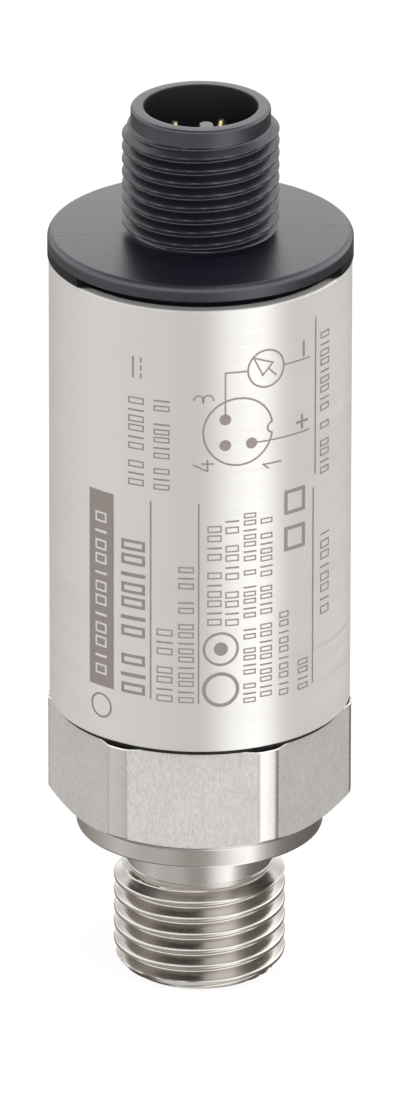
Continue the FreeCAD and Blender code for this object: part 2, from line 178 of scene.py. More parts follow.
def steel(name, colour, lines, roughness, depth, mottle=0.05, contrast=0.05, brushed=0.0):
    """Metal with fine tool lines of a frequency for each axis; brushed smears its highlights across them."""
    made, n = material(name)
    line = n.noise(lines, 4.0, 0.6)
    cloud = n.noise((0.22, 0.22, 0.22), 3.0, 0.5)
    n.set(Base_Color=n.shade(colour, n.spread(cloud, 1 - mottle, 1 + mottle),
                             n.spread(line, 1 - contrast, 1 + contrast)),
          Metallic=1.0,
          Roughness=n.spread(line, roughness - 0.05, roughness + 0.05),
          Normal=n.bump(line, depth))
    if brushed:
        around = n.add("ShaderNodeTangent", direction_type="RADIAL", axis="Z").outputs[0]
        n.set(Anisotropic=brushed, Anisotropic_Rotation=0.25, Tangent=around)
    return made


def plastic(name, colour, roughness, grain=9.0, depth=0.006, mottle=0.12, gloss=0.5, tint=WHITE):
    """Plastic, rubber or ceramic with a fine grain; gloss and tint are those of its highlights."""
    made, n = material(name)
    fine = n.noise((grain, grain, grain), 3.0, 0.6)
    cloud = n.noise((0.4, 0.4, 0.4), 2.0, 0.5)
    n.set(Base_Color=n.shade(colour, n.spread(cloud, 1 - mottle, 1 + mottle)),
          Roughness=n.spread(fine, roughness - 0.06, roughness + 0.06),
          Normal=n.bump(fine, depth),
          Specular_IOR_Level=gloss,
          Specular_Tint=tint)
    return made


def etching(name, dark, pale, metallic):
    """Laser marking: a dull brown-grey skin with a fine fleck."""
    made, n = material(name)
    fleck = n.noise((9, 9, 9), 3.0, 0.6)
    n.set(Base_Color=n.mix(fleck, dark, pale), Metallic=metallic, Roughness=0.5)
    return made


sleeve_steel = steel("sleeve_brushed", (0.76, 0.745, 0.725), (0.03, 0.03, 9.0), 0.46, 0.0006,
                     0.012, 0.02, brushed=0.95)
milled_steel = steel("flats_milled", (0.71, 0.695, 0.675), (9.0, 9.0, 3.0), 0.58, 0.003, 0.03, 0.13)
lathe_steel = steel("body_turned", (0.64, 0.62, 0.59), (0.3, 0.3, 12.0), 0.20, 0.0012, 0.03, 0.03)
corner_steel = steel("corners_turned", (0.76, 0.74, 0.71), (0.3, 0.3, 6.0), 0.28, 0.0003, 0.03, 0.03)
# the thread's own cut lines and gloss, with a colour darker than the turned steel's as painted shade for its
# grooves
thread_steel = steel("thread_cut_and_shade", (0.57, 0.545, 0.51), (0.4, 0.4, 10.0), 0.19, 0.0012, 0.05, 0.04)
# painted shade: a near-black skin on steel where the gap under the sleeve lies in shade
recess_dark = plastic("recess_shadow", (0.010, 0.009, 0.009), 0.6, gloss=0.2)
cap_plastic = plastic("cap_moulded", (0.003, 0.002, 0.0065), 0.34, gloss=0.95, tint=COOL)
bore_plastic = plastic("socket_moulded", (0.003, 0.0025, 0.004), 0.5, gloss=0.30, tint=COOL)
gold = steel("contact_gold", (0.92, 0.76, 0.46), (3.0, 3.0, 3.0), 0.24, 0.001, 0.04)
seal_rubber = plastic("seal_rubber", (0.02, 0.02, 0.02), 0.5, 6.0)
cell_ceramic = plastic("cell_ceramic", (0.82, 0.80, 0.75), 0.5, 12.0, 0.002, 0.03)
tin = steel("terminal_tin", (0.66, 0.65, 0.62), (2.0, 2.0, 2.0), 0.35, 0.002)
ring_brass = steel("ring_brass", (0.72, 0.56, 0.28), (0.4, 0.4, 12.0), 0.32, 0.002)
board_green = plastic("board_laminate", (0.02, 0.13, 0.05), 0.35, 3.0, 0.002, 0.15)
chip_black = plastic("chip_black", (0.02, 0.02, 0.022), 0.6, 14.0)
capacitor_tan = plastic("capacitor_ceramic", (0.36, 0.24, 0.14), 0.4, 10.0, 0.002)
header_black = plastic("header_black", (0.03, 0.03, 0.03), 0.5)
holder_cream = plastic("holder_cream", (0.62, 0.58, 0.48), 0.5, 6.0)
spring_steel = steel("spring_bright", (0.66, 0.64, 0.6), (4.0, 4.0, 4.0), 0.25, 0.001)
film_white = plastic("membrane_white", (0.8, 0.8, 0.77), 0.7, 20.0)
etched = etching("etched_mark", (0.185, 0.158, 0.142), (0.23, 0.202, 0.186), 0.35)


# ---------------------------------------------------------------- meshes

def piece(name, vertices, faces, materials, index=None, slot=None, stands_for=(), sharp=35):
    """A mesh piece from millimetre vertices; index gives each face's material."""
    mesh = bpy.data.meshes.new(name)
    mesh.from_pydata([tuple(v) for v in np.asarray(vertices, float) * MM], [], faces)
    for m in materials:
        mesh.materials.append(m)
    if index is not None:
        mesh.polygons.foreach_set("material_index", index)
    edit = bmesh.new()
    edit.from_mesh(mesh)
    bmesh.ops.remove_doubles(edit, verts=edit.verts, dist=1e-7)
    bmesh.ops.dissolve_degenerate(edit, edges=edit.edges, dist=1e-7)
    bmesh.ops.recalc_face_normals(edit, faces=edit.faces)
    edit.to_mesh(mesh)
    edit.free()
    mesh.shade_smooth()
    mesh.set_sharp_from_angle(angle=math.radians(sharp))
    made = bpy.data.objects.new(name, mesh)
    scene.collection.objects.link(made)
    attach(made, "root")
    if stands_for:
        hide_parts(*stands_for)
    return made


class Turned:
    """A skin of rows around the axis, with a point at every angle.

    A row's kind is the material of the faces after it: one number, or one for each angle.
    """

    def __init__(self, angles):
        self.angles = angles
        self.rows = []
        self.kinds = []

    def row(self, r, z, kind=0):
        """A row at radius r and level z, which may each be one number or one for each angle."""
        r = np.broadcast_to(r, self.angles.shape)
        z = np.broadcast_to(z, self.angles.shape)
        self.rows.append(np.stack([r * np.cos(self.angles), r * np.sin(self.angles), z], axis=1))
        self.kinds.append(kind)

    def outline(self, points, kind=0):
        """Rows through (r, z) points; a long span gets a row near each end, to keep its shading plain."""
        for a, b in zip(points, points[1:]):
            self.row(*a, kind)
            length = math.dist(a, b)
            if length > 6 * HOLD:
                for part in (HOLD / length, 1 - HOLD / length):
                    self.row(a[0] + (b[0] - a[0]) * part, a[1] + (b[1] - a[1]) * part, kind)
        self.row(*points[-1], kind)

    def piece(self, name, materials, loop=True, **more):
        """The piece between the rows; a loop joins the last row to the first."""
        columns = len(self.angles)
        faces = []
        index = []
        count = len(self.rows)
        for i in range(count if loop else count - 1):
            a = i * columns
            b = (i + 1) % count * columns
            for k in range(columns):
                q = (k + 1) % columns
                faces.append((a + k, a + q, b + q, b + k))
            index += list(np.broadcast_to(self.kinds[i], columns))
        return piece(name, np.concatenate(self.rows), faces, materials, index, **more)


def rounded(corners, steps=3):
    """An (r, z) outline whose corners with a third number are rounded by that radius."""
    out = []
    for i, corner in enumerate(corners):
        if len(corner) < 3:
            out.append(corner)
            continue
        here = np.array(corner[:2], float)
        back = np.array(corners[i - 1][:2], float) - here
        ahead = np.array(corners[(i + 1) % len(corners)][:2], float) - here
        back /= np.linalg.norm(back)
        ahead /= np.linalg.norm(ahead)
        half = math.acos(float(back @ ahead)) / 2
        reach = corner[2] / math.tan(half)
        middle = (back + ahead) / np.linalg.norm(back + ahead) * corner[2] / math.sin(half) + here
        a = here + back * reach - middle
        b = here + ahead * reach - middle
        turn = math.pi - 2 * half
        for s in range(steps + 1):
            t = s / steps
            v = (math.sin((1 - t) * turn) * a + math.sin(t * turn) * b) / math.sin(turn)
            out.append(tuple(middle + v))
    return out


def thread_depth(phase, pitch, flank, flat, crest, root):
    """Depth below the crest of a thread, at a phase in turns from the crest.

    The crest is a flat whose edges are rounded by one radius, and the root is rounded by another.
    """
    half = (pitch - flat) / 2
    x = np.maximum(np.abs((phase + 0.5) % 1 - 0.5) * pitch - flat / 2, 0)
    bend = math.pi / 2 - flank
    crest_end = crest * math.sin(bend)
    root_start = half - root * math.sin(bend)
    crest_drop = crest * (1 - math.cos(bend))
    straight = crest_drop + (x - crest_end) / math.tan(flank)
    total = crest_drop + (root_start - crest_end) / math.tan(flank) + root * (1 - math.cos(bend))
    on_crest = crest - np.sqrt(np.maximum(crest ** 2 - x ** 2, 0))
    away = half - x
    on_root = total - root + np.sqrt(np.maximum(root ** 2 - away ** 2, 0))
    return np.where(x < crest_end, on_crest, np.where(x < root_start, straight, on_root))


# ---------------------------------------------------------------- process connection

STUD_TIP_R = 5.67
STUD_TIP_BREAK = 0.25
STUD_LEAD = 1.25
PIPE_PITCH = 1.337
PIPE_MAJOR = 6.5785
PIPE_FLANK = math.radians(27.5)
PIPE_FLAT = 0.12
PIPE_CREST_ROUND = 0.14
PIPE_ROOT_ROUND = 0.10
PIPE_CREST_LEVEL = -11.02          # of the lowest crest at the front
PIPE_STEP = 0.036                  # between the rows of the thread
UNDERCUT_R = 5.5
UNDERCUT_BOTTOM = -3.56
NECK_R = 5.65
NECK_BOTTOM = -3.36
NECK_FILLET = 0.35
TOOL_GROOVE = 0.035
COLLAR_R = 9.45
COLLAR_TOP = 1.5
COLLAR_BREAK = 0.12
HEX_FLAT = 10.4
HEX_CORNER = 11.6
HEX_TOP = SLEEVE_BOTTOM - 0.4
HEX_SLOPE = math.tan(math.radians(30))
HEX_TOP_BREAK = 0.08
EDGE_BREAK = 0.033                 # off the edge between a flat and a corner arc
EDGE_HALF_ANGLE = 0.012            # half the width of that break, in radians
SHOULDER_R = 11.1
PORT_R = 1.75
PORT_BREAK = 0.2
LOCK_BORE_R = 9.6
CELL_POCKET_R = 9.1
CELL_POCKET_TOP = 15.0
CELL_SEAT = 9.0
SEAL_GROOVE_R = (5.0, 6.9)
SEAL_GROOVE_FLOOR = 7.65


def hex_columns():
    """Angles round the blank, the wall's radius at each, and whether a milled face follows it."""
    edge = math.acos(HEX_FLAT / HEX_CORNER)
    side = math.pi / 3
    bevel = EDGE_HALF_ANGLE
    slack = 0.001
    local = [*np.linspace(-edge, edge, 31), *np.linspace(edge, side - edge, 9)[1:-1]]
    for limit in (-edge, edge):
        local += [limit - 2 * bevel, limit - bevel, limit + bevel, limit + 2 * bevel]
    first = -edge - 2 * bevel - slack
    local = sorted(a for a in local if first < a < first + side)
    angles = np.array([FRONT + k * side + a for k in range(6) for a in local])
    off = (angles - FRONT + side / 2) % side - side / 2
    wall = np.minimum(HEX_FLAT / np.cos(off), HEX_CORNER)
    near = np.abs(np.abs(off) - edge)
    ahead = (angles - FRONT + side / 2 + slack) % side - side / 2
    milled = (ahead > bevel - edge) & (ahead < edge - bevel)
    return angles, wall - EDGE_BREAK * np.maximum(1 - near / (bevel + slack), 0), milled


def stud_rows(skin, kind):
    """The stud's thread from its tip to the neck: a lead at the tip and a relief at the neck cut it off."""
    turns = (skin.angles - FRONT) / (2 * math.pi)
    for z in np.arange(STUD_TIP + 0.02, NECK_BOTTOM - 0.03, PIPE_STEP):
        up = z - STUD_TIP
        r = PIPE_MAJOR - thread_depth((z - PIPE_CREST_LEVEL) / PIPE_PITCH - turns, PIPE_PITCH, PIPE_FLANK,
                                      PIPE_FLAT, PIPE_CREST_ROUND, PIPE_ROOT_ROUND)
        lead = STUD_TIP_R + up / STUD_LEAD * (PIPE_MAJOR - STUD_TIP_R) * 1.15
        relief = UNDERCUT_R + max(0.0, UNDERCUT_BOTTOM - z) / math.tan(PIPE_FLANK)
        r = np.minimum(np.minimum(r, lead), relief)
        if up < STUD_TIP_BREAK:
            r = np.full_like(r, STUD_TIP_R - STUD_TIP_BREAK + up)
        skin.row(r, z, kind)


def process_connection():
    """Port, G1/4 stud, neck, collar, wrench flats with their chamfer, shoulder, spigot and cell pocket."""
    angles, wall, on_flat = hex_columns()
    skin = Turned(angles)
    milled, lathe, thread, dark, corner = range(5)
    sides = np.where(on_flat, milled, corner)
    skin.outline([(PORT_R, CELL_SEAT), (PORT_R, STUD_TIP + 0.3), (PORT_R + PORT_BREAK, STUD_TIP),
                  (STUD_TIP_R - STUD_TIP_BREAK, STUD_TIP)], lathe)
    stud_rows(skin, thread)
    # the neck's lip, with a fine tool groove above it
    skin.outline([(UNDERCUT_R, NECK_BOTTOM - 0.02), (NECK_R - 0.05, NECK_BOTTOM),
                  (NECK_R, NECK_BOTTOM + 0.06), (NECK_R, NECK_BOTTOM + 0.16),
                  (NECK_R - TOOL_GROOVE, NECK_BOTTOM + 0.20), (NECK_R - TOOL_GROOVE, NECK_BOTTOM + 0.25),
                  (NECK_R, NECK_BOTTOM + 0.30), (NECK_R, -NECK_FILLET - 0.03)], lathe)
    for t in np.linspace(0, math.pi / 2, 6):
        skin.row(NECK_R + NECK_FILLET * (1 - math.cos(t)), NECK_FILLET * (math.sin(t) - 1), lathe)
    skin.outline([(NECK_R + NECK_FILLET + 0.01, 0.0), (COLLAR_R - COLLAR_BREAK, 0.0),
                  (COLLAR_R - 0.035, 0.035), (COLLAR_R, COLLAR_BREAK), (COLLAR_R, COLLAR_TOP - 0.05)], lathe)
    # the chamfer, whose upper edge rises where the wall is further out
    top = COLLAR_TOP + (wall - COLLAR_R) * HEX_SLOPE
    skin.row(COLLAR_R + 0.03, COLLAR_TOP + 0.02, lathe)
    skin.row(COLLAR_R + 0.08, COLLAR_TOP + 0.08 * HEX_SLOPE, lathe)
    for inset in (0.10, 0.07):
        skin.row(wall - inset, top - inset * HEX_SLOPE, lathe)
    skin.row(wall - 0.02, top, sides)
    upper = HEX_TOP - HEX_TOP_BREAK
    for z in (top + 0.05, top + 0.05 + HOLD, upper - HOLD, upper):
        skin.row(wall, z, sides)
    skin.row(wall - 0.05, HEX_TOP - 0.01, lathe)
    # the outer rim of the flats' top face, the shoulder and the face under the sleeve take the painted shade
    # of the gap
    skin.row(np.where(wall > SHOULDER_R, wall - 0.10, wall), HEX_TOP, dark)
    skin.outline([(SHOULDER_R, HEX_TOP), (SHOULDER_R, SLEEVE_BOTTOM)], dark)
    inner, outer = SEAL_GROOVE_R
    skin.outline([(SLIDE_R, SLEEVE_BOTTOM), (SLIDE_R, SPIGOT_TOP - 0.2), (SLIDE_R - 0.2, SPIGOT_TOP),
                  (LOCK_BORE_R, SPIGOT_TOP), (LOCK_BORE_R, CELL_POCKET_TOP),
                  (CELL_POCKET_R, CELL_POCKET_TOP), (CELL_POCKET_R, CELL_SEAT), (outer, CELL_SEAT),
                  (outer, SEAL_GROOVE_FLOOR), (inner, SEAL_GROOVE_FLOOR), (inner, CELL_SEAT)], lathe)
    return skin.piece("body_steel", [milled_steel, lathe_steel, thread_steel, recess_dark, corner_steel],
                      slot="body_steel", stands_for=["process_connection"], sharp=28)


# ---------------------------------------------------------------- sleeve and its marking

SLEEVE_ROUND = 0.12
MARK_RISE = 0.012                  # of the marking over the sleeve
BARE_RISE = 0.020                  # of what stays bare in the dark bar


def case_sleeve():
    """Plain tube with rounded outer edges."""
    skin = Turned(np.linspace(0, 2 * math.pi, 360, endpoint=False))
    skin.outline(rounded([(BORE_R, SLEEVE_BOTTOM), (SLEEVE_R, SLEEVE_BOTTOM, SLEEVE_ROUND),
                          (SLEEVE_R, SLEEVE_TOP, SLEEVE_ROUND), (BORE_R, SLEEVE_TOP)]))
    return skin.piece("sleeve", [sleeve_steel], slot="sleeve_steel", stands_for=["case_sleeve"], sharp=40)


class Marking:
    """Flat shapes laid on the sleeve, in millimetres.

    u runs round it to the right of the camera's front, and v runs up from its lower edge.
    """

    STEP = 0.4                     # longest run round the sleeve in one flat face
    LINE = 0.13                    # usual width of a line

    def __init__(self, rise):
        self.rise = rise
        self.points = []
        self.faces = []

    def quad(self, *corners):
        start = len(self.points)
        self.points += corners
        self.faces.append(tuple(range(start, start + len(corners))))

    def bar(self, u0, u1, v0, v1):
        count = math.ceil((u1 - u0) / self.STEP)
        for k in range(count):
            a = u0 + (u1 - u0) * k / count
            b = u0 + (u1 - u0) * (k + 1) / count
            self.quad((a, v0), (b, v0), (b, v1), (a, v1))

    def stroke(self, points, width=LINE):
        for (u0, v0), (u1, v1) in zip(points, points[1:]):
            length = math.hypot(u1 - u0, v1 - v0)
            du = (u1 - u0) / length
            dv = (v1 - v0) / length
            count = math.ceil(length / self.STEP)
            half = width / 2
            places = [-half + (length + width) * k / count for k in range(count + 1)]
            for a, b in zip(places, places[1:]):
                self.quad(*[(u0 + du * s - dv * t, v0 + dv * s + du * t)
                            for s, t in ((a, -half), (b, -half), (b, half), (a, half))])

    def arc(self, u, v, r, width=LINE, start=0.0, end=360.0):
        count = max(8, math.ceil(abs(end - start) * r / 20))
        steps = np.radians(np.linspace(start, end, count + 1))
        for a, b in zip(steps, steps[1:]):
            self.quad(*[(u + (r + side) * math.cos(t), v + (r + side) * math.sin(t))
                        for t, side in ((a, -width / 2), (a, width / 2), (b, width / 2), (b, -width / 2))])

    def disc(self, u, v, r):
        steps = np.radians(np.linspace(0, 360, 25))
        for a, b in zip(steps, steps[1:]):
            self.quad((u, v), (u + r * math.cos(a), v + r * math.sin(a)),
                      (u + r * math.cos(b), v + r * math.sin(b)))

    def box(self, u0, u1, v0, v1, width):
        self.stroke([(u0, v0), (u1, v0)], width)
        self.stroke([(u0, v1), (u1, v1)], width)
        self.stroke([(u0, v0), (u0, v1)], width)
        self.stroke([(u1, v0), (u1, v1)], width)

    def blocks(self, u, v0, v1, height, groups, width=0.11):
        """A row of plain open boxes and bars that runs up the sleeve, in groups of the given counts."""
        pitch = (v1 - v0) / (sum(groups) + len(groups) - 1)
        low = u - height / 2 + width / 2
        high = u + height / 2 - width / 2
        at = v0
        for group in groups:
            for k in range(group):
                if k % 3 == 1:
                    self.stroke([(low, at + pitch * 0.4), (high, at + pitch * 0.4)], width * 1.3)
                else:
                    self.box(low, high, at + width, at + pitch * 0.74, width)
                at += pitch
            at += pitch

    def piece(self, name, finish):
        r = SLEEVE_R + self.rise
        front = FRONT + CAMERA_AZIMUTH
        places = [(front + u / SLEEVE_R, SLEEVE_BOTTOM + v) for u, v in self.points]
        vertices = [(r * math.cos(a), r * math.sin(a), z) for a, z in places]
        return piece(name, vertices, self.faces, [finish], slot="sleeve_steel")


def digit(marks, number, u, v):
    """The contact numbers 1, 3 and 4 in plain strokes, lying on their side."""
    if number == 1:
        marks.stroke([(u - 0.35, v - 0.35), (u - 0.75, v), (u + 0.75, v)])
    elif number == 3:
        marks.arc(u - 0.36, v, 0.36, start=-40, end=190)
        marks.arc(u + 0.36, v, 0.40, start=-10, end=215)
    else:
        marks.stroke([(u - 0.75, v + 0.05), (u + 0.3, v - 0.45), (u + 0.3, v + 0.45)])
        marks.stroke([(u - 0.1, v + 0.15), (u + 0.75, v + 0.15)])


def wiring_diagram(marks):
    """Face of the plug with its three contacts, and the loop through a meter."""
    line = 0.15
    face_u, face_v, face_r = 2.95, 26.25, 2.72
    notch = 0.42
    gap = math.degrees(notch / face_r)
    marks.arc(face_u, face_v, face_r, line, gap, 360 - gap)
    marks.arc(face_u + face_r, face_v, notch, line, 90, 270)
    contact_3 = (1.9, 27.3)
    contact_4 = (1.9, 25.2)
    contact_1 = (3.95, 25.2)
    for u, v in (contact_1, contact_3, contact_4):
        marks.disc(u, v, 0.45)
    digit(marks, 3, 0.25, 28.95)
    digit(marks, 4, 0.25, 23.6)
    digit(marks, 1, 5.65, 23.3)
    meter_u, meter_v, meter_r = 5.15, 31.1, 1.5
    marks.stroke([contact_3, (contact_3[0], meter_v), (meter_u - meter_r, meter_v)])
    marks.arc(meter_u, meter_v, meter_r, line)
    marks.stroke([(meter_u - 1.05, meter_v + 1.0), (meter_u + 0.55, meter_v + 0.4),
                  (meter_u - 0.3, meter_v - 0.5), (meter_u - 1.05, meter_v + 1.0)])
    marks.stroke([(meter_u + 0.15, meter_v), (meter_u + 0.8, meter_v - 0.65)])
    lead_end = 9.1
    marks.stroke([(meter_u + meter_r, meter_v), (lead_end, meter_v)])
    marks.stroke([contact_1, (lead_end, contact_1[1])])
    minus = [(8.55, 31.4), (8.55, 32.5)]
    plus_across = [(8.4, 25.55), (8.4, 26.55)]
    plus_up = [(7.9, 26.05), (8.9, 26.05)]
    for sign in (minus, plus_across, plus_up):
        marks.stroke(sign, 0.2)


# the rows of blocks, each with its middle u, first and last v, height and groups
BLOCK_ROWS = (
    (-5.0, 21.5, 28.9, 1.3, (3, 6)),
    (-2.95, 21.4, 29.1, 1.25, (3, 5, 2)),
    (-2.7, 4.0, 10.2, 1.25, (4, 3)),
    (-1.05, 4.0, 15.4, 1.2, (10, 2, 3)),
    (1.1, 10.4, 18.8, 1.1, (6, 4)),
    (2.45, 10.3, 19.4, 1.05, (4, 4, 2)),
    (3.85, 3.8, 19.6, 1.0, (3, 4, 2, 5, 1, 7)),
    (5.2, 4.1, 19.0, 1.0, (10, 4, 6, 1)),
    (6.75, 3.9, 11.0, 0.85, (10,)),
    (8.6, 3.9, 6.6, 1.0, (4,)),
    (11.0, 21.0, 32.8, 1.1, (4, 1, 9)),
    (11.1, 9.4, 16.6, 1.1, (8,)))
# the rules, each with its u and its first and last v
RULES = ((-3.8, 4.2, 20.4), (-0.1, 4.1, 20.4), (9.85, 21.4, 34.1), (9.65, 4.2, 20.2))


def marking():
    """All that is printed on the sleeve, and the bare blocks in its dark bar."""
    marks = Marking(MARK_RISE)
    marks.bar(-9.35, -6.95, 4.3, 20.4)
    marks.arc(-8.15, 2.7, 0.95, 0.16)
    marks.blocks(-5.25, 4.2, 17.2, 2.0, (3, 7), 0.24)
    for row in BLOCK_ROWS:
        marks.blocks(*row)
    for u, v0, v1 in RULES:
        marks.stroke([(u, v0), (u, v1)])
    marks.stroke([(-5.25, 30.4), (-5.25, 32.0)], 0.15)
    for k in range(3):
        marks.stroke([(-4.6, 30.4 + 0.65 * k), (-4.6, 30.7 + 0.65 * k)])
    marks.arc(1.6, 8.5, 1.3, 0.2)
    marks.disc(1.6, 8.5, 0.55)
    marks.arc(1.6, 5.15, 1.3, 0.28)
    for v in (15.9, 18.9):
        marks.box(6.9, 8.6, v, v + 1.7, 0.3)
    wiring_diagram(marks)
    marks.piece("sleeve_marks", etched)
    bare = Marking(BARE_RISE)
    bare.blocks(-8.15, 5.2, 18.9, 1.1, (12,), 0.16)
    bare.piece("sleeve_marks_bare", sleeve_steel)


# ---------------------------------------------------------------- M12 plug

PLUG_BORE = 4.28
PLUG_LEAD_R = 5.3
PLUG_LEAD_LENGTH = 1.3
PLUG_LEAD_CHAMFER = 0.45
PLUG_RIM_ROUND = 0.22
PLUG_MAJOR = 5.95
PLUG_PITCH = 1.0
PLUG_FLANK = math.radians(30)
PLUG_FLAT = 0.08
PLUG_CREST_ROUND = 0.04
PLUG_ROOT_ROUND = 0.10
PLUG_CREST_LEVEL = 49.81           # of the lowest crest at the front
PLUG_STEP = 0.045                  # between the rows of the thread
PLUG_FADE = 0.35                   # over which the thread grows out of its root above the flange
KEY = FRONT + KEY_ANGLE
KEY_HALF = 0.525
KEY_DEPTH = 1.15
SOCKET_FLOOR = FLANGE_TOP + 0.7
SLOT_HALF = math.radians(60)
SLOT_HEIGHT = 0.75
SLOT_DEPTH = 1.6
FLANGE_ROUND = 0.5
FLANGE_BREAK = 0.08
CEILING_DROP = 0.8                 # of the inner face below the flange
SKIRT_BORE_R = 8.4
GROOVE_DEPTH = 0.9
GROOVE_DROP = 1.3                  # of the seal groove below the flange
GROOVE_HEIGHT = 1.6
SEAM_HEIGHT = 0.012                # of the mould line, square to the key
SEAM_HALF_ANGLE = 0.006


def cap_columns():
    """Angles from the key's direction, each with a point of the key rib's outline or None."""
    nose = PLUG_BORE - KEY_DEPTH + KEY_HALF
    flare = KEY_HALF + 0.12
    side = [(PLUG_BORE * math.cos(math.asin(flare / PLUG_BORE)), flare),
            (PLUG_BORE * math.cos(math.asin(KEY_HALF / PLUG_BORE)) - 0.10, KEY_HALF + 0.02),
            (nose + 0.2, KEY_HALF)]
    side += [(nose - KEY_HALF * math.sin(a), KEY_HALF * math.cos(a)) for a in np.linspace(0, math.pi / 2, 9)]
    rib = [(x, -y) for x, y in side] + [(x, y) for x, y in reversed(side)][1:]
    reach = math.asin(flare / PLUG_BORE)
    circle = np.linspace(-math.pi, math.pi, 360, endpoint=False)
    columns = [(a, None) for a in circle if abs(a) > reach + 0.01]
    columns += zip(np.linspace(-reach, reach, len(rib)), rib)
    hair = 1e-9
    for end in (-SLOT_HALF, SLOT_HALF):
        columns += [(end - hair, None), (end + hair, None)]
    for seam in (-math.pi / 2, math.pi / 2):
        columns += [(seam - SEAM_HALF_ANGLE, None), (seam + 1e-5, None), (seam + SEAM_HALF_ANGLE, None)]
    columns.sort(key=lambda column: column[0])
    return columns


def socket_row(skin, columns, out, z, kind):
    """A row of the bore with the key rib; out moves the wall outwards for the edge break."""
    skin.row(PLUG_BORE + out, z, kind)
    row = skin.rows[-1]
    c = math.cos(KEY)
    s = math.sin(KEY)
    for i, (_, rib) in enumerate(columns):
        if rib:
            x = rib[0] + out * 0.9
            y = rib[1] * (1 - out * 0.6)
            row[i] = (x * c - y * s, x * s + y * c, z)


def plug_rows(skin):
    """The M12 thread from the flange to its lead below the rim."""
    turns = ((skin.angles - FRONT) / (2 * math.pi) + 0.5) % 1 - 0.5
    top = PLUG_RIM - PLUG_LEAD_LENGTH
    bottom = FLANGE_TOP + 0.1
    form = (PLUG_PITCH, PLUG_FLANK, PLUG_FLAT, PLUG_CREST_ROUND, PLUG_ROOT_ROUND)
    root = PLUG_MAJOR - thread_depth(0.5, *form)
    skin.row(root + 0.12, FLANGE_TOP + 0.03)
    for z in np.arange(bottom, top + 0.02, PLUG_STEP):
        r = PLUG_MAJOR - thread_depth((z - PLUG_CREST_LEVEL) / PLUG_PITCH - turns, *form)
        lead = PLUG_LEAD_R + (top - z) / PLUG_LEAD_CHAMFER * (PLUG_MAJOR - PLUG_LEAD_R)
        rise = np.clip((z - bottom) / PLUG_FADE, 0, 1)
        r = np.minimum(r, np.maximum(lead, PLUG_LEAD_R))
        skin.row(root + (r - root) * rise * rise * (3 - 2 * rise), z)
    skin.row(PLUG_LEAD_R, top + 0.06)
    skin.outline(rounded([(PLUG_LEAD_R, top + 0.2), (PLUG_LEAD_R, PLUG_RIM, PLUG_RIM_ROUND),
                          (PLUG_BORE, PLUG_RIM)], 5)[1:-1])


def connector_cap():
    """Skirt with its seal groove, flange with vent slot and mould line, M12 thread and keyed socket."""
    columns = cap_columns()
    local = np.array([a for a, _ in columns])
    in_slot = np.abs(local) < SLOT_HALF
    seam = np.where(np.abs(np.abs(local) - math.pi / 2) < SEAM_HALF_ANGLE / 2, SEAM_HEIGHT, 0.0)
    skin = Turned(local + KEY)
    outside, inside = range(2)
    ceiling = SLEEVE_TOP - CEILING_DROP
    groove_top = SLEEVE_TOP - GROOVE_DROP
    groove_bottom = groove_top - GROOVE_HEIGHT
    skin.outline([(0.0, ceiling), (SKIRT_BORE_R, ceiling), (SKIRT_BORE_R, PLUG_FLOOR), (SLIDE_R, PLUG_FLOOR),
                  (SLIDE_R, groove_bottom), (SLIDE_R - GROOVE_DEPTH, groove_bottom),
                  (SLIDE_R - GROOVE_DEPTH, groove_top), (SLIDE_R, groove_top),
                  (SLIDE_R, SLEEVE_TOP)], outside)
    slot_floor = FLANGE_R - SLOT_DEPTH
    slot_top = SLEEVE_TOP + SLOT_HEIGHT
    wall = np.where(in_slot, slot_floor, FLANGE_R)
    skin.row(np.where(in_slot, slot_floor, FLANGE_R - FLANGE_BREAK), SLEEVE_TOP, inside)
    skin.row(wall, SLEEVE_TOP + FLANGE_BREAK, inside)
    skin.row(wall, slot_top, outside)
    skin.row(FLANGE_R - 0.05, slot_top, outside)
    skin.row(FLANGE_R + seam, slot_top + 0.05, outside)
    for r, z in rounded([(FLANGE_R, slot_top + 0.15), (FLANGE_R, FLANGE_TOP, FLANGE_ROUND),
                         (PLUG_MAJOR, FLANGE_TOP)], 7)[1:-1]:
        skin.row(r + seam * 0.7, z + seam * 0.7, outside)
    skin.row(PLUG_MAJOR + 0.15, FLANGE_TOP + seam, outside)
    plug_rows(skin)
    skin.row(PLUG_BORE + 0.25, PLUG_RIM, outside)
    for out, z in ((0.10, PLUG_RIM), (0.03, PLUG_RIM - 0.03), (0.0, PLUG_RIM - 0.12), (0.0, SOCKET_FLOOR)):
        socket_row(skin, columns, out, z, inside)
    skin.row(0.0, SOCKET_FLOOR, inside)
    return skin.piece("plug_moulding", [cap_plastic, bore_plastic], loop=False, slot="cap_plastic",
                      stands_for=["connector_cap"], sharp=32)


process_connection()
case_sleeve()
connector_cap()
marking()

FINISH = {
    "cell_seal_ring": seal_rubber, "pressure_cell": cell_ceramic, "cell_terminals": tin,
    "cell_board": board_green, "conditioning_chip": chip_black, "board_header": header_black,
    "header_pins": gold, "retaining_ring": ring_brass, "board_holder": holder_cream,
    "main_board": board_green, "output_chip": chip_black, "voltage_regulator": chip_black,
    "surge_diodes": chip_black, "chip_capacitors": capacitor_tan, "chip_resistors": chip_black,
    "earth_spring": spring_steel, "contact_pin_1": gold, "contact_pin_3": gold, "contact_pin_4": gold,
    "cap_seal_ring": seal_rubber, "vent_membrane": film_white}
for name, finish in FINISH.items():
    nodes[name].data.materials.clear()
    nodes[name].data.materials.append(finish)


# ---------------------------------------------------------------- stage and studio

FLOOR_HALF = 3.0                   # in metres
FLOOR_WHITE = (0.92, 0.92, 0.92, 1.0)
FLOOR_GLOW = 0.9                   # share of plain white in what the camera sees of the floor
MIDDLE = Vector((0, 0, 0.0217))    # in metres, where the camera and the lamps are aimed


